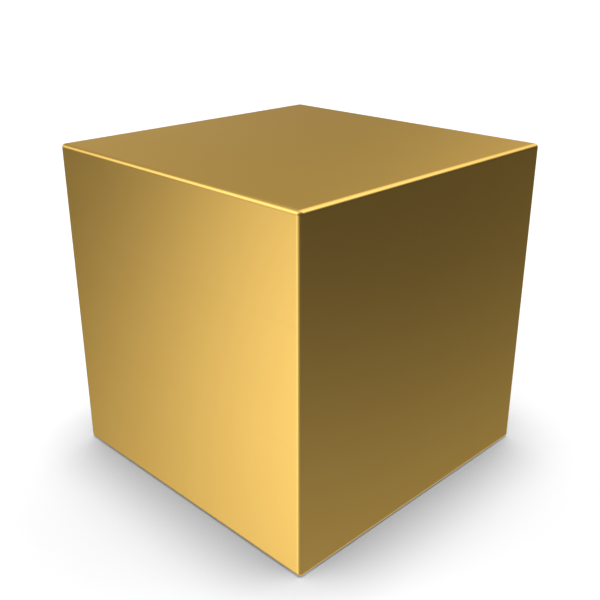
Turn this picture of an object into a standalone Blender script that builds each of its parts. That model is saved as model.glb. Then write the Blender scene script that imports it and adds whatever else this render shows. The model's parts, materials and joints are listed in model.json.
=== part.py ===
"""Mirror block cube: a 3 x 3 x 3 turning puzzle whose six outer layers all differ in thickness.

Solved, the blocks close up into one plain cube with rounded edges. Six centres are held to a core
spider by screws and springs. Twelve edge blocks hook under the centres, and eight corner blocks hook
under the edges. Their feet and necks run between spheres about the core's centre, so that a whole
layer can turn. Lengths below are in millimetres, measured from the core's centre.
"""

import math
from itertools import product

import bmesh
import bpy
from mathutils import Matrix, Vector

OBJECT_NAME = "mirror_block_cube"
MM = 0.001

# The closed cube and the thickness of its layers. The middle layer is the same in all directions.
SIDE = 57.0
MIDDLE = 19.0
LEFT, FRONT, BOTTOM = 10.0, 25.0, 22.0
EDGE_RADIUS = 0.7
EDGE_SEGMENTS = 3

# Clearance between neighbours, shell walls, the inset that keeps joined boxes from sharing a face, and
# how far a cutter runs past what it cuts.
GAP = 0.3
WALL = 1.6
INSET = 0.05
TRIM = 1.0

# Spheres and planes that part the feet and necks of the blocks from their neighbours.
FOOT_INNER, FOOT_OUTER, NECK_OUTER = 13.0, 17.0, 19.5
FOOT_PLANE, NECK_PLANE, BLOCK_PLANE = 6.0, 8.0, MIDDLE / 2
PARTING_SEGMENTS = 24
CORNER_FOOT_RADIUS = 5.6

# Bridges that tie a block's foot, neck and body together, and the drain through an edge's foot.
EDGE_BRIDGE_END = 14.0
CORNER_STALK_END = 13.0
NECK_BOX_END = 17.5
DRAIN_WIDTH, DRAIN_HEIGHT, DRAIN_START, DRAIN_END = 2.9, 7.6, 12.0, 23.0

# Core spider.
BALL_RADIUS, ARM_RADIUS, ARM_END = 5.5, 3.4, 8.0
ARM_BORE_RADIUS, ARM_BORE_START = 1.75, 2.7

# Centre hub: a turned column with a spring pocket, and a square flange.
HUB_RADIUS, HUB_START, HUB_END = 5.7, 8.3, 17.6
HUB_BORE_RADIUS, POCKET_RADIUS, POCKET_FLOOR = 1.8, 4.0, 10.0
FLANGE_HALF, FLANGE_OPENING = 7.4, 5.0

# Centre cap: a box lid that sits over the hub's flange.
REBATE_HALF, CAP_HOLLOW_HALF = 7.75, 6.8
CAP_FLOOR = HUB_END + GAP

# Tension screw, washer and spring, from the core outward.
SCREW_START, SHANK_RADIUS, SCREW_CHAMFER = 3.2, 1.4, 0.4
HEAD_START, HEAD_END, HEAD_RADIUS = 15.1, 17.1, 2.9
RECESS_WIDTH, RECESS_LENGTH, RECESS_DEPTH = 0.6, 3.2, 1.2
WASHER_START, WASHER_END, WASHER_INNER, WASHER_OUTER = 14.3, 14.8, 1.75, 3.5
SPRING_START, SPRING_END, SPRING_TURNS = 10.3, 14.0, 3.5
SPRING_RADIUS, WIRE_RADIUS, SPRING_POINTS_PER_TURN = 2.7, 0.25, 8

ROUND_SIDES = 20
SHARP_ANGLE = math.radians(30)
MERGE_DISTANCE = 0.00001

AXES = (Vector((1, 0, 0)), Vector((0, 1, 0)), Vector((0, 0, 1)))
SIDE_NAMES = (("left", "right"), ("front", "back"), ("bottom", "top"))
NAME_ORDER = (2, 1, 0)

# Distance from the core's centre to each face of the cube: (minus side, plus side) along X, Y and Z.
REACH = [(layer + MIDDLE / 2, SIDE - layer - MIDDLE / 2) for layer in (LEFT, FRONT, BOTTOM)]
CORE = Vector((REACH[0][0] - SIDE / 2, REACH[1][0] - SIDE / 2, REACH[2][0]))


# ---------------------------------------------------------------- scene

def clear_scene():
    for thing in list(bpy.data.objects):
        bpy.data.objects.remove(thing, do_unlink=True)


def make_collection(name):
    collection = bpy.data.collections.new(name)
    bpy.context.scene.collection.children.link(collection)
    return collection


def make_material(name, colour, roughness, metallic):
    material = bpy.data.materials.new(name)
    material.use_nodes = True
    shader = material.node_tree.nodes["Principled BSDF"]
    shader.inputs["Base Color"].default_value = (*colour, 1.0)
    shader.inputs["Roughness"].default_value = roughness
    shader.inputs["Metallic"].default_value = metallic
    return material


def make_frame(name, direction=AXES[2]):
    """Empty on the core's centre, its own Z axis along the given direction."""
    frame = bpy.data.objects.new(name, None)
    frame.empty_display_size = SIDE * MM / 4
    frame.location = CORE * MM
    frame.rotation_euler = AXES[2].rotation_difference(direction).to_euler()
    parts.objects.link(frame)
    return frame


def finish_part(part, frame, material):
    """Hang a part on its body's empty and give it its material."""
    part.parent = frame
    part.data.materials.clear()
    part.data.materials.append(materials[material])


# ---------------------------------------------------------------- shapes

def object_from(shape, name, collection):
    mesh = bpy.data.meshes.new(name)
    shape.to_mesh(mesh)
    shape.free()
    thing = bpy.data.objects.new(name, mesh)
    collection.objects.link(thing)
    return thing


def shade_round(thing):
    """Smooth shading on the round faces, with the real corners left sharp."""
    thing.data.shade_smooth()
    thing.data.set_sharp_from_angle(angle=SHARP_ANGLE)


def box(name, spans, collection):
    """Box between a low and a high limit along each axis."""
    middle = Vector([(low + high) / 2 for low, high in spans])
    size = Vector([high - low for low, high in spans])
    shape = bmesh.new()
    place = Matrix.Translation(middle * MM) @ Matrix.Diagonal(size * MM).to_4x4()
    bmesh.ops.create_cube(shape, size=1.0, matrix=place)
    return object_from(shape, name, collection)


def sphere(name, radius, segments, collection):
    shape = bmesh.new()
    bmesh.ops.create_uvsphere(
        shape, u_segments=segments, v_segments=segments // 2, radius=radius * MM)
    ball = object_from(shape, name, collection)
    shade_round(ball)
    return ball


def rod(name, direction, start, end, radius, collection):
    """Cylinder along a direction through the core's centre."""
    shape = bmesh.new()
    turn = AXES[2].rotation_difference(direction).to_matrix().to_4x4()
    place = turn @ Matrix.Translation((0, 0, (start + end) / 2 * MM))
    bmesh.ops.create_cone(
        shape, cap_ends=True, segments=ROUND_SIDES, radius1=radius * MM, radius2=radius * MM,
        depth=(end - start) * MM, matrix=place)
    bar = object_from(shape, name, collection)
    shade_round(bar)
    return bar


def turned(name, profile, closed, collection):
    """Solid of revolution about Z, from (radius, height) points that run down its outer side."""
    shape = bmesh.new()
    points = [shape.verts.new((radius * MM, 0, height * MM)) for radius, height in profile]
    for first, second in zip(points, points[1:]):
        shape.edges.new((first, second))
    if closed:
        shape.edges.new((points[-1], points[0]))
    thing = object_from(shape, name, collection)
    spin = thing.modifiers.new("turn", "SCREW")
    spin.axis = "Z"
    spin.steps = ROUND_SIDES
    spin.render_steps = ROUND_SIDES
    spin.use_merge_vertices = True
    spin.merge_threshold = MERGE_DISTANCE
    spin.use_smooth_shade = True
    return thing


def boolean(target, operation, tool):
    step = target.modifiers.new(operation.lower(), "BOOLEAN")
    step.operation = operation
    step.solver = "EXACT"
    step.object = tool


def cut(target, tool):
    boolean(target, "DIFFERENCE", tool)


def join(target, tool):
    boolean(target, "UNION", tool)


def keep_inside(target, tool):
    boolean(target, "INTERSECT", tool)


def span(sign, near, far, half):
    """Limits along one axis: from near to far on the plus or minus side, or centred for sign 0."""
    if sign == 0:
        return -half, half
    return tuple(sorted((sign * near, sign * far)))


def spans(place, near, far, half=None):
    """Limits along all three axes for a piece on the sides that place names; far may differ by axis."""
    far = far if isinstance(far, (list, tuple)) else (far, far, far)
    return [span(sign, near, reach, half) for sign, reach in zip(place, far)]


# ---------------------------------------------------------------- places

def all_places(sides):
    """Block places with the given number of outer sides: 1 for centres, 2 for edges, 3 for corners."""
    return [place for place in product((-1, 0, 1), repeat=3) if sum(map(abs, place)) == sides]


def place_name(place):
    words = [SIDE_NAMES[axis][place[axis] > 0] for axis in NAME_ORDER if place[axis]]
    return "_".join(words)


def outer_faces(place, inset=0.0):
    """Distance to the cube's face on each axis, less an inset; a negative inset runs past the face."""
    return [REACH[axis][place[axis] > 0] - inset for axis in range(3)]


def layer_frame(place):
    """Edges and corners belong to the top, bottom or middle layer by their height."""
    return frames[("bottom_layer", "middle_layer", "top_layer")[place[2] + 1]]


# ---------------------------------------------------------------- cutters shared by many pieces

def shell_cutter(radius, side):
    """Sphere a half gap inside (-1) or outside (+1) a parting sphere."""
    name = f"sphere_{radius:g}_{'inner' if side < 0 else 'outer'}".replace(".", "_")
    return sphere(name, radius + side * GAP / 2, PARTING_SEGMENTS, cutters)


def cube_envelope():
    """The closed cube with its rounded edges, which trims every outer block."""
    limits = [(-low, high) for low, high in REACH]
    envelope = box("cube_envelope", limits, cutters)
    rounding = envelope.modifiers.new("rounding", "BEVEL")
    rounding.width = EDGE_RADIUS * MM
    rounding.segments = EDGE_SEGMENTS
    rounding.limit_method = "NONE"
    return envelope


# ---------------------------------------------------------------- core, screws, washers, springs

def make_core():
    """Ball with three crossing arms, bored out for the six screws."""
    core = sphere("core_spider", BALL_RADIUS, ROUND_SIDES, parts)
    for axis, word in zip(AXES, "xyz"):
        join(core, rod(f"core_arm_{word}", axis, -ARM_END, ARM_END, ARM_RADIUS, cutters))
    for place in all_places(1):
        name = f"core_bore_{place_name(place)}"
        cut(core, rod(name, Vector(place), ARM_BORE_START, ARM_END + TRIM, ARM_BORE_RADIUS, cutters))
    finish_part(core, frames["middle_layer"], "core_plastic")


def cross_recess(name):
    """Two crossed slots in a screw's head."""
    top = HEAD_END + TRIM
    depth = (HEAD_END - RECESS_DEPTH, top)
    long, short = RECESS_LENGTH / 2, RECESS_WIDTH / 2
    recess = box(f"{name}_recess", [(-long, long), (-short, short), depth], cutters)
    crossing = (depth[0], top + INSET)
    join(recess, box(f"{name}_slot", [(-short, short), (-long, long), crossing], cutters))
    return recess


def make_screw(side, frame):
    head = [(0, HEAD_END), (HEAD_RADIUS - SCREW_CHAMFER, HEAD_END)]
    head += [(HEAD_RADIUS, HEAD_END - SCREW_CHAMFER), (HEAD_RADIUS, HEAD_START)]
    shank = [(SHANK_RADIUS, HEAD_START), (SHANK_RADIUS, SCREW_START + SCREW_CHAMFER)]
    shank += [(SHANK_RADIUS - SCREW_CHAMFER, SCREW_START), (0, SCREW_START)]
    screw = turned(f"{side}_tension_screw", head + shank, False, parts)
    recess = cross_recess(f"{side}_screw")
    recess.parent = frame
    for modifier in recess.modifiers:
        modifier.object.parent = frame
    cut(screw, recess)
    finish_part(screw, frame, "zinc_plated_steel")


def make_washer(side, frame):
    ring = [(WASHER_INNER, WASHER_END), (WASHER_OUTER, WASHER_END)]
    ring += [(WASHER_OUTER, WASHER_START), (WASHER_INNER, WASHER_START)]
    finish_part(turned(f"{side}_washer", ring, True, parts), frame, "zinc_plated_steel")


def make_spring(side, frame):
    """Compression spring between the hub's pocket floor and the washer."""
    curve = bpy.data.curves.new(f"{side}_tension_spring", "CURVE")
    curve.dimensions = "3D"
    curve.bevel_depth = WIRE_RADIUS * MM
    curve.bevel_resolution = 2
    curve.use_fill_caps = True
    count = round(SPRING_TURNS * SPRING_POINTS_PER_TURN) + 1
    wire = curve.splines.new("POLY")
    wire.points.add(count - 1)
    start, end = SPRING_START + WIRE_RADIUS, SPRING_END - WIRE_RADIUS
    for index, point in enumerate(wire.points):
        angle = index / SPRING_POINTS_PER_TURN * math.tau
        height = start + (end - start) * index / (count - 1)
        x, y = SPRING_RADIUS * math.cos(angle), SPRING_RADIUS * math.sin(angle)
        point.co = (x * MM, y * MM, height * MM, 1)
    spring = bpy.data.objects.new(curve.name, curve)
    parts.objects.link(spring)
    finish_part(spring, frame, "spring_steel")


# ---------------------------------------------------------------- centres

def hub_flange(side, frame):
    """Square plate round the column, hollowed underneath by the outer foot sphere."""
    limits = [(-FLANGE_HALF, FLANGE_HALF)] * 2 + [(FOOT_INNER, HUB_END)]
    flange = box(f"{side}_flange", limits, cutters)
    flange.parent = frame
    cut(flange, foot_roof)
    opening = rod(f"{side}_flange_opening", AXES[2], FOOT_INNER - TRIM, HUB_END + TRIM,
                  FLANGE_OPENING, cutters)
    opening.parent = frame
    cut(flange, opening)
    return flange


def make_hub(side, frame):
    """Column on the screw, with a spring pocket inside and the flange that holds the edges down."""
    outside = [(HUB_RADIUS, HUB_END), (HUB_RADIUS, HUB_START), (HUB_BORE_RADIUS, HUB_START)]
    inside = [(HUB_BORE_RADIUS, POCKET_FLOOR), (POCKET_RADIUS, POCKET_FLOOR), (POCKET_RADIUS, HUB_END)]
    hub = turned(f"{side}_hub", outside + inside, True, parts)
    join(hub, hub_flange(side, frame))
    finish_part(hub, frame, "black_plastic")


def make_centre_cap(side, place, frame):
    """Outer block of a centre: a lid with a rebate for the hub's flange, hollow where it is deep."""
    reach = max(abs(step) * face for step, face in zip(place, outer_faces(place)))
    half = BLOCK_PLANE - GAP / 2
    cap = box(f"{side}_centre_cap", [(-half, half)] * 2 + [(FOOT_INNER, reach + TRIM)], parts)
    cut(cap, neck_roof)
    plate_half = REBATE_HALF + INSET
    plate_limits = [(-plate_half, plate_half)] * 2 + [(CAP_FLOOR, reach + TRIM / 2)]
    rebate_limits = [(-REBATE_HALF, REBATE_HALF)] * 2 + [(FOOT_INNER - TRIM, CAP_FLOOR)]
    plate = box(f"{side}_cap_plate", plate_limits, cutters)
    rebate = box(f"{side}_cap_rebate", rebate_limits, cutters)
    join(cap, plate)
    cut(cap, rebate)
    tools = [plate, rebate]
    if reach - WALL > CAP_FLOOR + WALL:
        hollow_limits = [(-CAP_HOLLOW_HALF, CAP_HOLLOW_HALF)] * 2 + [(CAP_FLOOR - TRIM, reach - WALL)]
        hollow = box(f"{side}_cap_hollow", hollow_limits, cutters)
        cut(cap, hollow)
        tools.append(hollow)
    for tool in tools:
        tool.parent = frame
    keep_inside(cap, envelope)
    finish_part(cap, frame, "gold_aluminium")


# ---------------------------------------------------------------- edges

def edge_hook(name, place):
    """Neck and foot of an edge block, tied together by a bridge."""
    near = BLOCK_PLANE + GAP / 2
    neck_half, foot_half = NECK_PLANE - GAP / 2, FOOT_PLANE - GAP / 2
    neck = box(f"{name}_neck", spans(place, near + INSET, NECK_BOX_END, neck_half), cutters)
    cut(neck, foot_roof)
    foot = box(f"{name}_foot", spans(place, FOOT_PLANE + GAP / 2, FOOT_OUTER, foot_half), cutters)
    keep_inside(foot, foot_outside)
    cut(foot, foot_floor)
    bridge_limits = spans(place, near + 2 * INSET, EDGE_BRIDGE_END, foot_half - INSET)
    bridge = box(f"{name}_bridge", bridge_limits, cutters)
    return neck, foot, bridge


def edge_drain(name, place):
    """Slot along the edge's diagonal that opens its hollow toward the core."""
    drain_limits = [(-DRAIN_WIDTH / 2, DRAIN_WIDTH / 2), (-DRAIN_HEIGHT / 2, DRAIN_HEIGHT / 2)]
    drain = box(f"{name}_drain", drain_limits + [(DRAIN_START, DRAIN_END)], cutters)
    outward = Vector(place).normalized()
    along = AXES[place.index(0)]
    turn = Matrix((along.cross(outward), along, outward)).transposed()
    drain.rotation_euler = turn.to_euler()
    return drain


def make_edge(place):
    """Outer block between two faces, hollow, with a hook that runs under the neighbouring centres."""
    name = f"{place_name(place)}_edge"
    near, half = BLOCK_PLANE + GAP / 2, BLOCK_PLANE - GAP / 2
    edge = box(name, spans(place, near, outer_faces(place, -TRIM), half), parts)
    cut(edge, neck_roof)
    for piece in edge_hook(name, place):
        join(edge, piece)
    hollow_limits = spans(place, near + WALL, outer_faces(place, WALL), half - WALL)
    hollow = box(f"{name}_hollow", hollow_limits, cutters)
    cut(hollow, hollow_floor)
    cut(edge, hollow)
    cut(edge, edge_drain(name, place))
    keep_inside(edge, envelope)
    finish_part(edge, layer_frame(place), "gold_aluminium")


# ---------------------------------------------------------------- corners

def make_corner_cap(place):
    """Three outer walls of a corner block, meeting at its rounded corner."""
    name = f"{place_name(place)}_corner"
    near = BLOCK_PLANE + GAP / 2
    cap = box(f"{name}_cap", spans(place, near, outer_faces(place, -TRIM)), parts)
    inner_limits = spans(place, near - TRIM, outer_faces(place, WALL))
    cut(cap, box(f"{name}_cap_hollow", inner_limits, cutters))
    keep_inside(cap, envelope)
    finish_part(cap, layer_frame(place), "gold_aluminium")


def corner_hook(name, place):
    """Neck, foot and stalk of a corner block."""
    neck = box(f"{name}_neck", spans(place, NECK_PLANE + GAP / 2, FOOT_OUTER), cutters)
    keep_inside(neck, neck_outside)
    foot = box(f"{name}_foot", spans(place, FOOT_PLANE + GAP / 2, FOOT_OUTER), cutters)
    keep_inside(foot, foot_outside)
    cut(foot, foot_floor)
    rounding = rod(f"{name}_foot_rounding", Vector(place), FOOT_INNER - TRIM, FOOT_OUTER + TRIM,
                   CORNER_FOOT_RADIUS, cutters)
    keep_inside(foot, rounding)
    stalk_limits = spans(place, BLOCK_PLANE + GAP / 2 + INSET, CORNER_STALK_END)
    stalk = box(f"{name}_stalk", stalk_limits, cutters)
    return neck, foot, stalk


def make_corner_body(place):
    """Inner walls of a corner block, open toward its cap, with a hook under the neighbouring edges."""
    name = f"{place_name(place)}_corner"
    near = BLOCK_PLANE + GAP / 2
    body = box(f"{name}_body", spans(place, near, outer_faces(place, WALL + GAP)), parts)
    cut(body, neck_roof)
    hollow = box(f"{name}_body_hollow", spans(place, near + WALL, outer_faces(place, -TRIM)), cutters)
    cut(hollow, hollow_floor)
    cut(body, hollow)
    for piece in corner_hook(name, place):
        join(body, piece)
    finish_part(body, layer_frame(place), "black_plastic")


# ---------------------------------------------------------------- build

clear_scene()
parts = make_collection(OBJECT_NAME)
cutters = make_collection("cutters")
materials = {
    "gold_aluminium": make_material("gold_aluminium", (0.80, 0.56, 0.20), 0.35, 1.0),
    "black_plastic": make_material("black_plastic", (0.02, 0.02, 0.022), 0.45, 0.0),
    "core_plastic": make_material("core_plastic", (0.85, 0.85, 0.82), 0.5, 0.0),
    "spring_steel": make_material("spring_steel", (0.45, 0.46, 0.48), 0.3, 1.0),
    "zinc_plated_steel": make_material("zinc_plated_steel", (0.68, 0.70, 0.72), 0.35, 1.0),
}
frames = {name: make_frame(name) for name in ("middle_layer", "top_layer", "bottom_layer")}

foot_floor = shell_cutter(FOOT_INNER, 1)
foot_outside = shell_cutter(FOOT_OUTER, -1)
foot_roof = shell_cutter(FOOT_OUTER, 1)
neck_outside = shell_cutter(NECK_OUTER, -1)
neck_roof = shell_cutter(NECK_OUTER, 1)
hollow_floor = sphere("hollow_floor", NECK_OUTER + GAP / 2 + WALL, PARTING_SEGMENTS, cutters)
envelope = cube_envelope()

make_core()
for centre_place in all_places(1):
    side_name = place_name(centre_place)
    direction = Vector(centre_place)
    screw_frame = make_frame(f"{side_name}_screw_axis", direction)
    screw_frame.parent = frames["middle_layer"]
    screw_frame.location = (0, 0, 0)
    centre_frame = make_frame(f"{side_name}_centre", direction)
    make_screw(side_name, screw_frame)
    make_washer(side_name, screw_frame)
    make_spring(side_name, screw_frame)
    make_hub(side_name, centre_frame)
    make_centre_cap(side_name, centre_place, centre_frame)
for edge_place in all_places(2):
    make_edge(edge_place)
for corner_place in all_places(3):
    make_corner_cap(corner_place)
    make_corner_body(corner_place)

for tool in cutters.objects:
    tool.hide_render = True
    tool.display_type = "WIRE"
    if tool.parent is None:
        tool.location = CORE * MM
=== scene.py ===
"""Looks of the mirror block cube: satin gold shells on black plastic bodies, closed up into one plain cube.

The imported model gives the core's place, the planes between the layers, the cube's faces and the places of
the round pieces inside. Every piece is made again here with a finer surface, and the outer blocks with
hairline joints, a gold shell and a hooked plastic body. Lengths are in metres.
"""
import json
import math
from itertools import product

import bmesh
import bpy
from mathutils import Matrix, Vector

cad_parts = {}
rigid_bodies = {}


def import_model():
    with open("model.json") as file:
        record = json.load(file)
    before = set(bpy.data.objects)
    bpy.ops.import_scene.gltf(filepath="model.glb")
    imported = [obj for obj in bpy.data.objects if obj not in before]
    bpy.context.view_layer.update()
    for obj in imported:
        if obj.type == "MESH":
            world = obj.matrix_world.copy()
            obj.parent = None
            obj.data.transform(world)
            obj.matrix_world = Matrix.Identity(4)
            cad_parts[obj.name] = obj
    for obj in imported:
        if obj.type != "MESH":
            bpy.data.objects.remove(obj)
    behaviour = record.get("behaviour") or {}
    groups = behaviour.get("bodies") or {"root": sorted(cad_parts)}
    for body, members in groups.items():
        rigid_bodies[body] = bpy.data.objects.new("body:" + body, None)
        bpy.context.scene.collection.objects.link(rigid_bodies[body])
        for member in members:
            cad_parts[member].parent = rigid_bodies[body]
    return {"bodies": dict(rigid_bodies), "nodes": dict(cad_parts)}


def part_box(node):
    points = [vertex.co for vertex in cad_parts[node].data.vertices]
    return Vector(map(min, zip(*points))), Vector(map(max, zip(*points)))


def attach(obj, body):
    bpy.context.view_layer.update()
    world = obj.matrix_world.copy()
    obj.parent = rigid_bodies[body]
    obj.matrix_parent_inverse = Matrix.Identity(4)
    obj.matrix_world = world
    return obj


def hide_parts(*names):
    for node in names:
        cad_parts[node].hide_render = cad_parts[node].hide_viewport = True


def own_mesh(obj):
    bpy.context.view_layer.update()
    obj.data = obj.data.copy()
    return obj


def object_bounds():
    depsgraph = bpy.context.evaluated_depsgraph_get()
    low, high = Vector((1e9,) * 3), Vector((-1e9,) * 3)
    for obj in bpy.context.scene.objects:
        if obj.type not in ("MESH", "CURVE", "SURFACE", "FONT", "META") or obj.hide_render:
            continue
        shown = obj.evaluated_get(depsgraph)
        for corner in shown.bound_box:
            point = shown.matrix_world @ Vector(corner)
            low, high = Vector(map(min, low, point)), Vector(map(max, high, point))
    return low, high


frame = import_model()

MM = 0.001
CAD_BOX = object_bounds()

# Joints between blocks: hairlines in the gold, a fine gap behind it and the running gaps of the hooks.
SEAM, BODY_GAP, RUNNING_GAP = 0.010 * MM, 0.06 * MM, 0.3 * MM

# Thickness of the gold shells, and the rounding of their outer edges and of the plastic behind them.
SHELL = 1.6 * MM
EDGE_RADIUS, EDGE_SEGMENTS = 0.7 * MM, 8
BODY_ROUNDING, BODY_SEGMENTS = 0.25 * MM, 3

# Spheres and planes between hooks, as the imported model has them, and the steps in a full circle.
FOOT_INNER, FOOT_OUTER, NECK_OUTER = 13.0 * MM, 17.0 * MM, 19.5 * MM
FOOT_PLANE, NECK_PLANE = 6.0 * MM, 8.0 * MM
SPHERE_STEPS, TURNED_STEPS = 96, 48

# How far the neck and the pieces that tie a foot to its block reach, how deep joined boxes run into each
# other, and how far a cutter runs past what it cuts.
NECK_END, BRIDGE_END, STALK_END = 17.5 * MM, 14.0 * MM, 13.0 * MM
INSET, TRIM = 0.05 * MM, 1.0 * MM

# Centre hub, and the lid over it in the centre's block.
HUB_RADIUS, HUB_BORE_RADIUS, POCKET_RADIUS, POCKET_FLOOR = 5.7 * MM, 1.8 * MM, 4.0 * MM, 10.0 * MM
FLANGE_OPENING, FLANGE_ROUNDING, LID_HALF = 5.0 * MM, 1.0 * MM, 7.8 * MM

# Core, screws and springs.
BALL_RADIUS, ARM_RADIUS, ARM_BORE_RADIUS, ARM_BORE_START = 5.5 * MM, 3.4 * MM, 1.75 * MM, 2.7 * MM
SHANK_RADIUS, THREAD_ROOT, THREAD_PITCH, THREAD_END = 1.4 * MM, 1.2 * MM, 0.6 * MM, 9.6 * MM
HEAD_START, HEAD_RIM, CHAMFER = 15.1 * MM, 16.4 * MM, 0.15 * MM
RECESS_WIDTH, RECESS_LENGTH, RECESS_DEPTH = 0.6 * MM, 3.2 * MM, 1.2 * MM
WASHER_BORE_RADIUS, WIRE_RADIUS = 1.75 * MM, 0.25 * MM
SPRING_TURNS, SPRING_END_TURNS, POINTS_PER_TURN = 4.5, 0.75, 24

# Corners sharper than this stay sharp, and corners closer than this are one.
SHARP_ANGLE, MERGE_DISTANCE = math.radians(35), 0.0001 * MM

# Turns spheres and turned pieces a little, so that their corners never meet those of other round pieces.
PHASE, SKEW = math.radians(1.1), Vector((1, 2, 3))

AXES = (Vector((1, 0, 0)), Vector((0, 1, 0)), Vector((0, 0, 1)))
SIDE_NAMES = (("left", "right"), ("front", "back"), ("bottom", "top"))
NAME_ORDER = (2, 1, 0)


def middle(corners):
    return (corners[0] + corners[1]) / 2


# The core's centre, the distance from it to the planes between layers, and the cube's side.
CORE = middle(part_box("core_spider"))
CAP_LOW, CAP_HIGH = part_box("top_centre_cap")
PLANE = (CAP_HIGH.x - CAP_LOW.x + RUNNING_GAP) / 2
SIDE = CAD_BOX[1].z - CAD_BOX[0].z


# ---------------------------------------------------------------- materials

def new_material(name):
    material = bpy.data.materials.new(name)
    material.use_nodes = True
    return material, material.node_tree, material.node_tree.nodes["Principled BSDF"]


def noise(tree, scale, detail=2.0):
    """Noise in the object's own space, so that it rides with the piece."""
    place = tree.nodes.new("ShaderNodeTexCoord")
    texture = tree.nodes.new("ShaderNodeTexNoise")
    texture.inputs["Scale"].default_value = scale
    texture.inputs["Detail"].default_value = detail
    tree.links.new(place.outputs["Object"], texture.inputs["Vector"])
    return texture.outputs["Fac"]


def ramp_value(tree, source, low, high):
    """A number between low and high that follows a noise from 0.3 to 0.7."""
    spread = tree.nodes.new("ShaderNodeMapRange")
    spread.inputs["From Min"].default_value = 0.3
    spread.inputs["From Max"].default_value = 0.7
    spread.inputs["To Min"].default_value = low
    spread.inputs["To Max"].default_value = high
    tree.links.new(source, spread.inputs["Value"])
    return spread.outputs["Result"]


def mix_colours(tree, source, first, second):
    blend = tree.nodes.new("ShaderNodeMix")
    blend.data_type = "RGBA"
    blend.inputs["A"].default_value = (*first, 1)
    blend.inputs["B"].default_value = (*second, 1)
    tree.links.new(ramp_value(tree, source, 0.0, 1.0), blend.inputs["Factor"])
    return blend.outputs["Result"]


def add_bump(tree, shader, source, depth):
    bump = tree.nodes.new("ShaderNodeBump")
    bump.inputs["Distance"].default_value = depth
    tree.links.new(source, bump.inputs["Height"])
    tree.links.new(bump.outputs["Normal"], shader.inputs["Normal"])


def grainy_material(name, colours, roughness, metallic, grain_size, grain_depth, cloud_size):
    """Two close colours and a roughness range in soft clouds, under a fine surface grain.

    The roughness clouds are a little smaller than the colour clouds, so that the two never line up."""
    material, tree, shader = new_material(name)
    clouds = noise(tree, 1 / cloud_size)
    tree.links.new(mix_colours(tree, clouds, *colours), shader.inputs["Base Color"])
    patches = noise(tree, 1.7 / cloud_size, detail=3.0)
    tree.links.new(ramp_value(tree, patches, *roughness), shader.inputs["Roughness"])
    shader.inputs["Metallic"].default_value = metallic
    add_bump(tree, shader, noise(tree, 1 / grain_size, detail=1.0), grain_depth)
    return material


def gold_material():
    """Bead-blasted and anodised aluminium: even satin gold with a very fine grain."""
    material = grainy_material(
        "satin_gold", ((0.985, 0.628, 0.163), (0.995, 0.638, 0.168)), (0.267, 0.273), 1.0,
        grain_size=0.3 * MM, grain_depth=0.0002 * MM, cloud_size=9 * MM)
    shader = material.node_tree.nodes["Principled BSDF"]
    shader.inputs["Specular Tint"].default_value = (1.0, 0.88, 0.56, 1)
    return material


def black_material():
    """Moulded black plastic with a soft sheen."""
    return grainy_material(
        "black_plastic", ((0.012, 0.012, 0.013), (0.018, 0.018, 0.020)), (0.36, 0.50), 0.0,
        grain_size=0.25 * MM, grain_depth=0.004 * MM, cloud_size=6 * MM)


def core_material():
    """Pale moulded plastic of the core."""
    return grainy_material(
        "core_plastic", ((0.76, 0.76, 0.73), (0.84, 0.84, 0.81)), (0.42, 0.55), 0.0,
        grain_size=0.3 * MM, grain_depth=0.004 * MM, cloud_size=5 * MM)


def spring_material():
    return grainy_material(
        "spring_steel", ((0.36, 0.36, 0.38), (0.50, 0.50, 0.52)), (0.22, 0.36), 1.0,
        grain_size=0.1 * MM, grain_depth=0.002 * MM, cloud_size=1.5 * MM)


def zinc_material():
    return grainy_material(
        "zinc_plate", ((0.60, 0.62, 0.66), (0.72, 0.73, 0.75)), (0.28, 0.42), 1.0,
        grain_size=0.15 * MM, grain_depth=0.002 * MM, cloud_size=2 * MM)


def floor_material():
    """Matt white studio floor with a trace of unevenness, and painted shade in its colour close under the
    cube.
    """
    material, tree, shader = new_material("white_floor")
    tone = mix_colours(tree, noise(tree, 20), (0.80, 0.80, 0.80), (0.805, 0.805, 0.805))
    # Painted shade: ambient occlusion darkens the floor's colour near the cube into a painted contact
    # shadow.
    nearby = tree.nodes.new("ShaderNodeAmbientOcclusion")
    nearby.samples = 6
    nearby.inputs["Distance"].default_value = FLOOR_PAINTED_SHADE_REACH
    shade = tree.nodes.new("ShaderNodeMapRange")
    shade.inputs["From Min"].default_value = 0.4
    shade.inputs["To Min"].default_value = FLOOR_PAINTED_SHADE
    tree.links.new(nearby.outputs["AO"], shade.inputs["Value"])
    tone_with_painted_shade = tree.nodes.new("ShaderNodeVectorMath")
    tone_with_painted_shade.operation = "SCALE"
    tree.links.new(tone, tone_with_painted_shade.inputs["Vector"])
    tree.links.new(shade.outputs["Result"], tone_with_painted_shade.inputs["Scale"])
    tree.links.new(tone_with_painted_shade.outputs["Vector"], shader.inputs["Base Color"])
    shader.inputs["Roughness"].default_value = 1.0
    shader.inputs["Specular IOR Level"].default_value = 0.0
    return material


# ---------------------------------------------------------------- shapes

def object_from(shape, name):
    mesh = bpy.data.meshes.new(name)
    shape.to_mesh(mesh)
    shape.free()
    thing = bpy.data.objects.new(name, mesh)
    bpy.context.scene.collection.objects.link(thing)
    return thing


def box_shape(limits):
    low = Vector([start for start, end in limits])
    high = Vector([end for start, end in limits])
    shape = bmesh.new()
    place = Matrix.Translation((low + high) / 2) @ Matrix.Diagonal(high - low).to_4x4()
    bmesh.ops.create_cube(shape, size=1.0, matrix=place)
    return shape


def round_edges(shape, edges, radius, segments):
    bmesh.ops.bevel(
        shape, geom=edges, offset=radius, segments=segments, profile=0.5, affect="EDGES", clamp_overlap=True)


def box(name, limits):
    return object_from(box_shape(limits), name)


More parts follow.
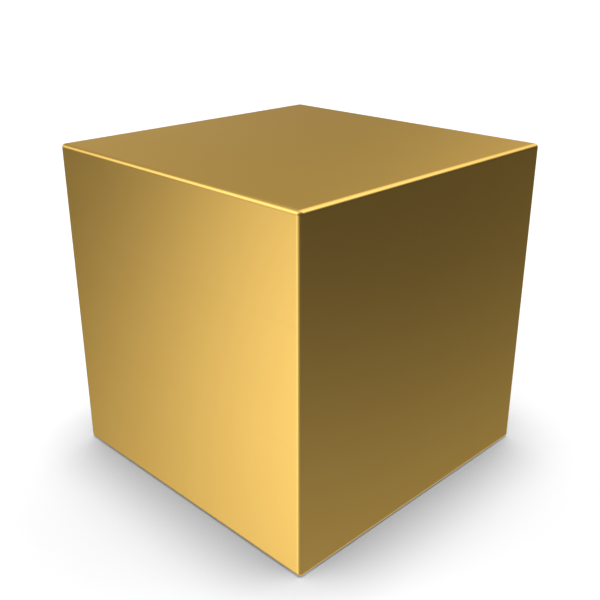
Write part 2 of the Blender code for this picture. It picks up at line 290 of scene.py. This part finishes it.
def sphere(name, radius):
    """Sphere about the core's centre."""
    shape = bmesh.new()
    bmesh.ops.create_uvsphere(
        shape, u_segments=SPHERE_STEPS, v_segments=SPHERE_STEPS // 2, radius=radius,
        matrix=Matrix.Translation(CORE) @ Matrix.Rotation(PHASE, 4, SKEW))
    return object_from(shape, name)


def turned(name, place, profile, closed=False):
    """Solid of revolution on a side's axis, from (radius, distance from the core) down its outer side."""
    shape = bmesh.new()
    points = [shape.verts.new((radius, 0, distance)) for radius, distance in profile]
    for first, second in zip(points, points[1:]):
        shape.edges.new((first, second))
    if closed:
        shape.edges.new((points[-1], points[0]))
    piece = object_from(shape, name)
    turn = piece.modifiers.new("turn", "SCREW")
    turn.axis = "Z"
    turn.steps = TURNED_STEPS
    turn.render_steps = TURNED_STEPS
    turn.use_merge_vertices = True
    turn.merge_threshold = MERGE_DISTANCE
    bake(piece)
    piece.data.transform(facing(place) @ Matrix.Rotation(PHASE, 4, "Z"))
    return piece


def rod(name, place, start, end, radius):
    """Cylinder on a side's axis."""
    shape = bmesh.new()
    bmesh.ops.create_cone(
        shape, cap_ends=True, segments=TURNED_STEPS, radius1=radius, radius2=radius,
        depth=end - start, matrix=facing(place) @ Matrix.Translation((0, 0, (start + end) / 2)))
    return object_from(shape, name)


def bake(target):
    """Turns a piece and its modifiers into a plain mesh."""
    bpy.context.view_layer.update()
    evaluated = target.evaluated_get(bpy.context.evaluated_depsgraph_get())
    mesh = bpy.data.meshes.new_from_object(evaluated)
    target.modifiers.clear()
    target.data = mesh


def combine(target, *steps):
    """Applies Boolean steps to a piece; each is an operation and its tool, which is removed at the end."""
    for operation, tool in steps:
        step = target.modifiers.new(operation.lower(), "BOOLEAN")
        step.operation = operation
        step.solver = "EXACT"
        step.object = tool
        tools.add(tool)
    bake(target)
    return target


def soften(target):
    """Smooth shading on round faces, with real corners left sharp and large flat faces left flat."""
    target.data.shade_smooth()
    target.data.set_sharp_from_angle(angle=SHARP_ANGLE)
    flat = target.modifiers.new("flat faces", "WEIGHTED_NORMAL")
    flat.weight = 100
    flat.keep_sharp = True
    bake(target)
    return target


def finish_piece(piece, material, node):
    """Gives a piece its material and hangs it on the body of the CAD node that it stands for."""
    piece.data.materials.clear()
    piece.data.materials.append(material)
    carrier = frame["nodes"][node].parent
    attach(piece, next(name for name, body in frame["bodies"].items() if body == carrier))
    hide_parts(node)
    return piece


# ---------------------------------------------------------------- places

def all_places(sides):
    """Block places with the given number of outer sides: 1 for centres, 2 for edges, 3 for corners."""
    return [place for place in product((-1, 0, 1), repeat=3) if sum(map(abs, place)) == sides]


def place_name(place):
    return "_".join(SIDE_NAMES[axis][place[axis] > 0] for axis in NAME_ORDER if place[axis])


def facing(place):
    """Matrix that takes +Z at the world's origin to a side's axis through the core."""
    turn = AXES[2].rotation_difference(Vector(place)).to_matrix().to_4x4()
    return Matrix.Translation(CORE) @ turn


def along(node):
    """Start and end of a node on the top side's axis, from the core's centre outward, and half its width."""
    low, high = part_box(node)
    return low.z - CORE.z, high.z - CORE.z, (high.x - low.x) / 2


def face(axis, sign):
    """Coordinate of the cube's face on one side."""
    return CAD_BOX[sign > 0][axis]


def span(axis, sign, near, far, half):
    """Limits on one axis. near and half are distances from the core; far is a coordinate."""
    if sign == 0:
        return CORE[axis] - half, CORE[axis] + half
    return tuple(sorted((CORE[axis] + sign * near, far)))


def spans(place, near, half, far):
    """Limits of a block; far gives the outer coordinate from the axis and side."""
    return [span(axis, place[axis], near, far(axis, place[axis]), half) for axis in range(3)]


def inside_face(depth):
    """Outer limit a given depth inside the cube's face."""
    return lambda axis, sign: face(axis, sign) - sign * depth


def from_core(distance):
    """Outer limit a given distance from the core's centre."""
    return lambda axis, sign: CORE[axis] + sign * distance


# ---------------------------------------------------------------- gold shells

def outer_edges(shape, place):
    """Edges of a block's box that lie on two outer faces of the cube."""
    found = []
    for edge in shape.edges:
        centre = (edge.verts[0].co + edge.verts[1].co) / 2
        outer = [abs(centre[axis] - face(axis, place[axis])) < SEAM for axis in range(3) if place[axis]]
        if sum(outer) == 2:
            found.append(edge)
    return found


def rounded_block(name, place):
    """A block's outside, with a hairline to its neighbours and the cube's rounded outer edges."""
    near, half = PLANE + SEAM / 2, PLANE - SEAM / 2
    shape = box_shape(spans(place, near, half, inside_face(0)))
    edges = outer_edges(shape, place)
    if edges:
        round_edges(shape, edges, EDGE_RADIUS, EDGE_SEGMENTS)
    return object_from(shape, name)


def make_shell(place):
    """Gold outer shell of a block: its outer walls only, open toward the plastic body.

    It throws no coloured light on the floor, whose white stays neutral."""
    inner = box("inner", spans(place, PLANE - TRIM, PLANE + TRIM, inside_face(SHELL)))
    shell = combine(rounded_block(f"{place_name(place)}_shell", place), ("DIFFERENCE", inner))
    shell.visible_diffuse = False
    return soften(shell)


# ---------------------------------------------------------------- plastic bodies

def body_block(name, place, start=PLANE + BODY_GAP):
    """Plastic block behind a shell, with softened edges and a fine gap to its neighbours."""
    shape = box_shape(spans(place, start, PLANE - BODY_GAP, inside_face(SHELL + SEAM)))
    round_edges(shape, shape.edges[:], BODY_ROUNDING, BODY_SEGMENTS)
    return object_from(shape, name)


def make_foot(place):
    """Foot of an edge or corner block, between the two foot spheres."""
    gap = RUNNING_GAP / 2
    foot = box("foot", spans(place, FOOT_PLANE + gap, FOOT_PLANE - gap, from_core(FOOT_OUTER)))
    return combine(foot, ("INTERSECT", foot_outside), ("DIFFERENCE", foot_floor))


def edge_body(place):
    """Plastic body of an edge block: block, neck, foot, and a bridge that ties them together."""
    near, half = PLANE + RUNNING_GAP / 2 + INSET, NECK_PLANE - RUNNING_GAP / 2
    neck = box("neck", spans(place, near, half, from_core(NECK_END)))
    combine(neck, ("DIFFERENCE", foot_roof))
    bridge_half = FOOT_PLANE - RUNNING_GAP / 2 - INSET
    bridge = box("bridge", spans(place, near + INSET, bridge_half, from_core(BRIDGE_END)))
    return soften(combine(
        body_block(f"{place_name(place)}_edge_body", place), ("DIFFERENCE", neck_roof),
        ("UNION", neck), ("UNION", make_foot(place)), ("UNION", bridge)))


def corner_body(place):
    """Plastic body of a corner block: block, neck, foot, and a stalk that ties them together."""
    neck = box("neck", spans(place, NECK_PLANE + RUNNING_GAP / 2, 0, from_core(FOOT_OUTER)))
    combine(neck, ("INTERSECT", neck_outside))
    stalk = box("stalk", spans(place, PLANE + RUNNING_GAP / 2 + INSET, 0, from_core(STALK_END)))
    return soften(combine(
        body_block(f"{place_name(place)}_corner_block", place), ("DIFFERENCE", neck_roof),
        ("UNION", neck), ("UNION", make_foot(place)), ("UNION", stalk)))


def centre_body(place):
    """Plastic block of a centre, with a lid over its hub."""
    lid_start = along("top_hub")[1] + RUNNING_GAP
    lid = box("lid", spans(place, lid_start, LID_HALF, inside_face(SHELL + 2 * SEAM)))
    return soften(combine(
        body_block(f"{place_name(place)}_centre_body", place, FOOT_INNER), ("DIFFERENCE", neck_roof),
        ("UNION", lid)))


# ---------------------------------------------------------------- core, screws, washers, springs, hubs

def make_core():
    """Ball with three crossing arms, bored out for the six screws."""
    end = along("core_spider")[1]
    rim = ARM_RADIUS - 2 * CHAMFER
    bar = [(0, end), (rim, end), (ARM_RADIUS, end - 2 * CHAMFER)]
    bar += [(radius, -distance) for radius, distance in reversed(bar)]
    arms = [("UNION", turned("arm", axis, bar)) for axis in AXES]
    bores = [("DIFFERENCE", rod("bore", place, ARM_BORE_START, end + CHAMFER, ARM_BORE_RADIUS))
             for place in all_places(1)]
    return soften(combine(sphere("core_ball", BALL_RADIUS), *arms, *bores))


def thread(start, end):
    """Profile of a threaded shank, from its upper end down to its tip."""
    points = []
    for ridge in range(int((end - start) / THREAD_PITCH)):
        top = end - ridge * THREAD_PITCH
        points += [(SHANK_RADIUS, top), (SHANK_RADIUS, top - THREAD_PITCH / 4)]
        points += [(THREAD_ROOT, top - THREAD_PITCH / 2), (THREAD_ROOT, top - THREAD_PITCH * 3 / 4)]
    return points


def cross_recess(place, top):
    """Two crossed slots in a screw's head."""
    depth = (top - RECESS_DEPTH, top + CHAMFER)
    long, short = RECESS_LENGTH / 2, RECESS_WIDTH / 2
    slots = [box("slot", [(-x, x), (-y, y), depth]) for x, y in ((long, short), (short, long))]
    for slot in slots:
        slot.data.transform(facing(place))
    return [("DIFFERENCE", slot) for slot in slots]


def make_screw(place):
    """Tension screw with a domed head, a cross recess and a threaded end."""
    start, end, radius = along("top_tension_screw")
    arc = [math.radians(angle) for angle in range(0, 91, 10)]
    head = [(radius * math.sin(a), HEAD_RIM + (end - HEAD_RIM) * math.cos(a)) for a in arc]
    head += [(radius, HEAD_START + CHAMFER), (radius - CHAMFER, HEAD_START), (SHANK_RADIUS, HEAD_START)]
    tip = [(THREAD_ROOT - CHAMFER, start), (0, start)]
    profile = head + thread(start + CHAMFER, THREAD_END) + tip
    screw = turned(f"{place_name(place)}_screw", place, profile)
    return soften(combine(screw, *cross_recess(place, end)))


def make_washer(place):
    start, end, radius = along("top_washer")
    outside = [(radius - CHAMFER, end), (radius, end - CHAMFER), (radius, start + CHAMFER)]
    outside += [(radius - CHAMFER, start)]
    ring = [(WASHER_BORE_RADIUS, end)] + outside + [(WASHER_BORE_RADIUS, start)]
    return soften(turned(f"{place_name(place)}_washer_ring", place, ring, closed=True))


def spring_height(turn, close):
    """Share of a spring's height at a turn. Each end coil rises by close, and the rest is open."""
    if turn < SPRING_END_TURNS:
        return close * turn / SPRING_END_TURNS
    if turn > SPRING_TURNS - SPRING_END_TURNS:
        return 1 - close * (SPRING_TURNS - turn) / SPRING_END_TURNS
    return close + (1 - 2 * close) * (turn - SPRING_END_TURNS) / (SPRING_TURNS - 2 * SPRING_END_TURNS)


def make_spring(place):
    """Compression spring with closed ends, between the hub's pocket floor and the washer."""
    start, end, outer_radius = along("top_tension_spring")
    radius = outer_radius - WIRE_RADIUS
    rise = end - start - 2 * WIRE_RADIUS
    close = SPRING_END_TURNS * 2 * WIRE_RADIUS / rise
    wire = bpy.data.curves.new("wire", "CURVE")
    wire.dimensions = "3D"
    wire.bevel_depth = WIRE_RADIUS
    wire.bevel_resolution = 3
    wire.use_fill_caps = True
    coil = wire.splines.new("POLY")
    coil.points.add(round(SPRING_TURNS * POINTS_PER_TURN))
    for index, point in enumerate(coil.points):
        turn = index / POINTS_PER_TURN
        height = start + WIRE_RADIUS + rise * spring_height(turn, close)
        angle = turn * math.tau
        point.co = (radius * math.cos(angle), radius * math.sin(angle), height, 1)
    curve = bpy.data.objects.new("wire", wire)
    bpy.context.scene.collection.objects.link(curve)
    bpy.context.view_layer.update()
    shape = bmesh.new()
    shape.from_mesh(curve.evaluated_get(bpy.context.evaluated_depsgraph_get()).to_mesh())
    bpy.data.objects.remove(curve)
    bmesh.ops.remove_doubles(shape, verts=shape.verts, dist=MERGE_DISTANCE)
    bmesh.ops.transform(shape, matrix=facing(place), verts=shape.verts)
    return soften(object_from(shape, f"{place_name(place)}_spring_coil"))


def shorten(spring):
    """Gives the spring a mesh of its own."""
    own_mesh(spring)


def make_hub(place):
    """Turned column with a spring pocket, and the square flange that holds the edge blocks down."""
    start, end, half = along("top_hub")
    rim = end - INSET
    outside = [(HUB_RADIUS, rim), (HUB_RADIUS, start + CHAMFER), (HUB_RADIUS - CHAMFER, start)]
    inside = [(HUB_BORE_RADIUS, start), (HUB_BORE_RADIUS, POCKET_FLOOR), (POCKET_RADIUS, POCKET_FLOOR)]
    inside += [(POCKET_RADIUS, rim)]
    hub = turned(f"{place_name(place)}_hub_column", place, outside + inside, closed=True)
    shape = box_shape([(-half, half), (-half, half), (FOOT_INNER, end)])
    uprights = [edge for edge in shape.edges if abs(edge.verts[0].co.z - edge.verts[1].co.z) > MM]
    round_edges(shape, uprights, FLANGE_ROUNDING, EDGE_SEGMENTS)
    flange = object_from(shape, "flange")
    flange.data.transform(facing(place))
    opening = rod("opening", place, FOOT_INNER - CHAMFER, end + CHAMFER, FLANGE_OPENING)
    combine(flange, ("DIFFERENCE", foot_roof), ("DIFFERENCE", opening))
    return soften(combine(hub, ("UNION", flange)))


# ---------------------------------------------------------------- studio

CAMERA_AZIMUTH, CAMERA_ELEVATION = 45.0, 22.5
CAMERA_DISTANCE, CAMERA_LENS = 2.655 * SIDE, 50.15

# Broad glows of the studio round the cube: azimuth and elevation of the middle, half width, strength.
# Azimuth 0 is in front, 90 to the right; all angles are in degrees.
AMBIENT = 0.08
GLOWS = (
    ("top_left_key", -45, 25, 30, 1.5),
    ("left_key", -30, -25, 30, 0.8),
    ("left_fill", -10, -20, 50, 0.45),
    ("side_fill", -105, 0, 45, 0.4),
    ("overhead_fill", -30, 75, 60, 0.8),
    ("back_softbox", -165, 45, 45, 0.5),
    ("back_strip", -165, 30, 30, 0.4),
    ("right_rim", 150, 45, 30, 1.1),
    ("back_bounce", -165, -30, 45, 0.4),
    ("table_bounce", 90, -90, 75, 0.45),
)

# Width in degrees and strength of the overhead softbox.
OVERHEAD_WIDTH, OVERHEAD_STRENGTH = 25, 2.2

# The floor: its size, its gap under the cube, and how dark the painted contact shadow in its colour is and
# how far it reaches.
FLOOR_SIZE, FLOOR_GAP = 8, 0.02 * MM
FLOOR_PAINTED_SHADE, FLOOR_PAINTED_SHADE_REACH = 0.76, 17 * MM


def heading(azimuth, elevation):
    """Direction from the cube toward an azimuth and elevation."""
    a, e = math.radians(azimuth), math.radians(elevation)
    return Vector((math.sin(a) * math.cos(e), -math.cos(a) * math.cos(e), math.sin(e)))


def glow(tree, direction, azimuth, elevation, half_width, strength):
    """Light that fades smoothly from the middle of a glow to its half width."""
    closeness = tree.nodes.new("ShaderNodeVectorMath")
    closeness.operation = "DOT_PRODUCT"
    closeness.inputs[1].default_value = heading(azimuth, elevation)
    tree.links.new(direction, closeness.inputs[0])
    fade = tree.nodes.new("ShaderNodeMapRange")
    fade.interpolation_type = "SMOOTHSTEP"
    fade.inputs["From Min"].default_value = math.cos(math.radians(half_width))
    fade.inputs["From Max"].default_value = 1.0
    fade.inputs["To Max"].default_value = strength
    tree.links.new(closeness.outputs["Value"], fade.inputs["Value"])
    return fade.outputs["Result"]


def make_world():
    """Studio surroundings as a sum of soft glows; the backdrop that the camera sees is plain white."""
    world = bpy.data.worlds.new("studio")
    bpy.context.scene.world = world
    world.use_nodes = True
    tree = world.node_tree
    tree.nodes.clear()
    direction = tree.nodes.new("ShaderNodeTexCoord").outputs["Generated"]
    total = None
    for name, *shape in GLOWS:
        light = glow(tree, direction, *shape)
        add = tree.nodes.new("ShaderNodeMath")
        add.label = name
        add.inputs[1].default_value = AMBIENT
        if total is not None:
            tree.links.new(total, add.inputs[1])
        tree.links.new(light, add.inputs[0])
        total = add.outputs["Value"]
    lights = tree.nodes.new("ShaderNodeBackground")
    lights.inputs["Color"].default_value = (1, 1, 1, 1)
    tree.links.new(total, lights.inputs["Strength"])
    backdrop = tree.nodes.new("ShaderNodeBackground")
    backdrop.inputs["Color"].default_value = (1, 1, 1, 1)
    choose = tree.nodes.new("ShaderNodeMixShader")
    rays = tree.nodes.new("ShaderNodeLightPath")
    tree.links.new(rays.outputs["Is Camera Ray"], choose.inputs["Fac"])
    tree.links.new(lights.outputs["Background"], choose.inputs[1])
    tree.links.new(backdrop.outputs["Background"], choose.inputs[2])
    output = tree.nodes.new("ShaderNodeOutputWorld")
    tree.links.new(choose.outputs["Shader"], output.inputs["Surface"])


def make_overhead():
    """Softbox straight overhead that lights the floor and stays out of the metal's reflections."""
    light = bpy.data.lights.new("overhead", "SUN")
    light.angle = math.radians(OVERHEAD_WIDTH)
    light.energy = OVERHEAD_STRENGTH
    lamp = bpy.data.objects.new("overhead", light)
    lamp.visible_glossy = False
    bpy.context.scene.collection.objects.link(lamp)


def make_floor():
    """White floor that catches the cube's soft shadow, with painted shade in its colour close under the
    cube. The metal mirrors the studio and not the floor.
    """
    bpy.ops.mesh.primitive_plane_add(size=FLOOR_SIZE, location=(0, 0, CAD_BOX[0].z - FLOOR_GAP))
    floor = bpy.context.object
    floor.name = "studio_floor"
    floor.data.materials.append(floor_material())
    floor.visible_glossy = False
    floor.visible_shadow = False


def make_camera():
    data = bpy.data.cameras.new("camera")
    data.lens = CAMERA_LENS
    data.clip_start, data.clip_end = 0.01, 20
    camera = bpy.data.objects.new("camera", data)
    bpy.context.scene.collection.objects.link(camera)
    back = heading(CAMERA_AZIMUTH, CAMERA_ELEVATION)
    camera.location = middle(CAD_BOX) + back * CAMERA_DISTANCE
    camera.rotation_euler = back.to_track_quat("Z", "Y").to_euler()
    bpy.context.scene.camera = camera


# ---------------------------------------------------------------- build

tools = set()

# Spheres that part the blocks' hooks, shared by many pieces.
foot_floor = sphere("foot_floor", FOOT_INNER + RUNNING_GAP / 2)
foot_outside = sphere("foot_outside", FOOT_OUTER - RUNNING_GAP / 2)
foot_roof = sphere("foot_roof", FOOT_OUTER + RUNNING_GAP / 2)
neck_outside = sphere("neck_outside", NECK_OUTER - RUNNING_GAP / 2)
neck_roof = sphere("neck_roof", NECK_OUTER + RUNNING_GAP / 2)

gold, black, steel, zinc = gold_material(), black_material(), spring_material(), zinc_material()
finish_piece(make_core(), core_material(), "core_spider")
for place in all_places(1):
    side = place_name(place)
    finish_piece(make_shell(place), gold, f"{side}_centre_cap")
    finish_piece(centre_body(place), black, f"{side}_centre_cap")
    finish_piece(make_hub(place), black, f"{side}_hub")
    finish_piece(make_screw(place), zinc, f"{side}_tension_screw")
    finish_piece(make_washer(place), zinc, f"{side}_washer")
    shorten(finish_piece(make_spring(place), steel, f"{side}_tension_spring"))
for place in all_places(2):
    node = f"{place_name(place)}_edge"
    finish_piece(make_shell(place), gold, node)
    finish_piece(edge_body(place), black, node)
for place in all_places(3):
    node = f"{place_name(place)}_corner"
    finish_piece(make_shell(place), gold, f"{node}_cap")
    finish_piece(corner_body(place), black, f"{node}_body")
for thing in tools:
    bpy.data.objects.remove(thing)

make_world()
make_overhead()
make_floor()
make_camera()
bpy.context.scene.view_settings.view_transform = "Standard"
